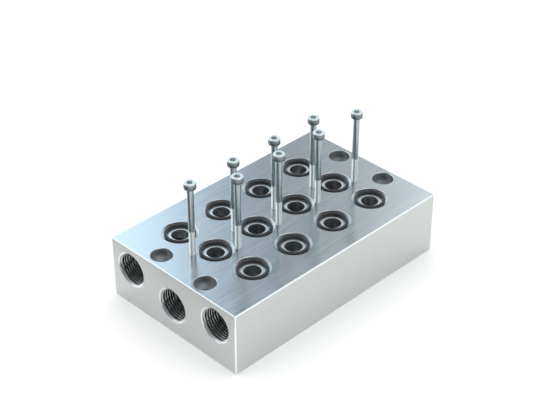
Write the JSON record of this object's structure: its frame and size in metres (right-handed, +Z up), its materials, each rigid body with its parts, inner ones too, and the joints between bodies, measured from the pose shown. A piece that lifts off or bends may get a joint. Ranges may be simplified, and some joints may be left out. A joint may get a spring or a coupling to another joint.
{
  "type": "bar manifold",
  "caption": "Rectangular aluminium manifold bar with threaded end ports, rows of counterbored valve ports with seal rings, mounting holes and upright valve screws.",
  "frame": {"origin": "middle of the bar's flat base", "axes": "+X along the bar from its front end to its rear end, +Y across it to its left side, +Z up"},
  "size_m": [0.127, 0.079, 0.0685],
  "materials": {
    "machined_aluminium": "milled",
    "black_rubber": "moulded",
    "zinc_plated_steel": "bright zinc plating"
  },
  "bodies": {
    "root": {"manifold_block": "machined_aluminium", "seal_ring_1a": "black_rubber", "seal_ring_1b": "black_rubber", "seal_ring_1c": "black_rubber", "seal_ring_2a": "black_rubber", "seal_ring_2b": "black_rubber", "seal_ring_2c": "black_rubber", "seal_ring_3a": "black_rubber", "seal_ring_3b": "black_rubber", "seal_ring_3c": "black_rubber", "seal_ring_4a": "black_rubber", "seal_ring_4b": "black_rubber", "seal_ring_4c": "black_rubber", "valve_screw_1a": "zinc_plated_steel", "valve_screw_1b": "zinc_plated_steel", "valve_screw_2a": "zinc_plated_steel", "valve_screw_2b": "zinc_plated_steel", "valve_screw_3a": "zinc_plated_steel", "valve_screw_3b": "zinc_plated_steel", "valve_screw_4a": "zinc_plated_steel", "valve_screw_4b": "zinc_plated_steel"}
  },
  "joints": []
}
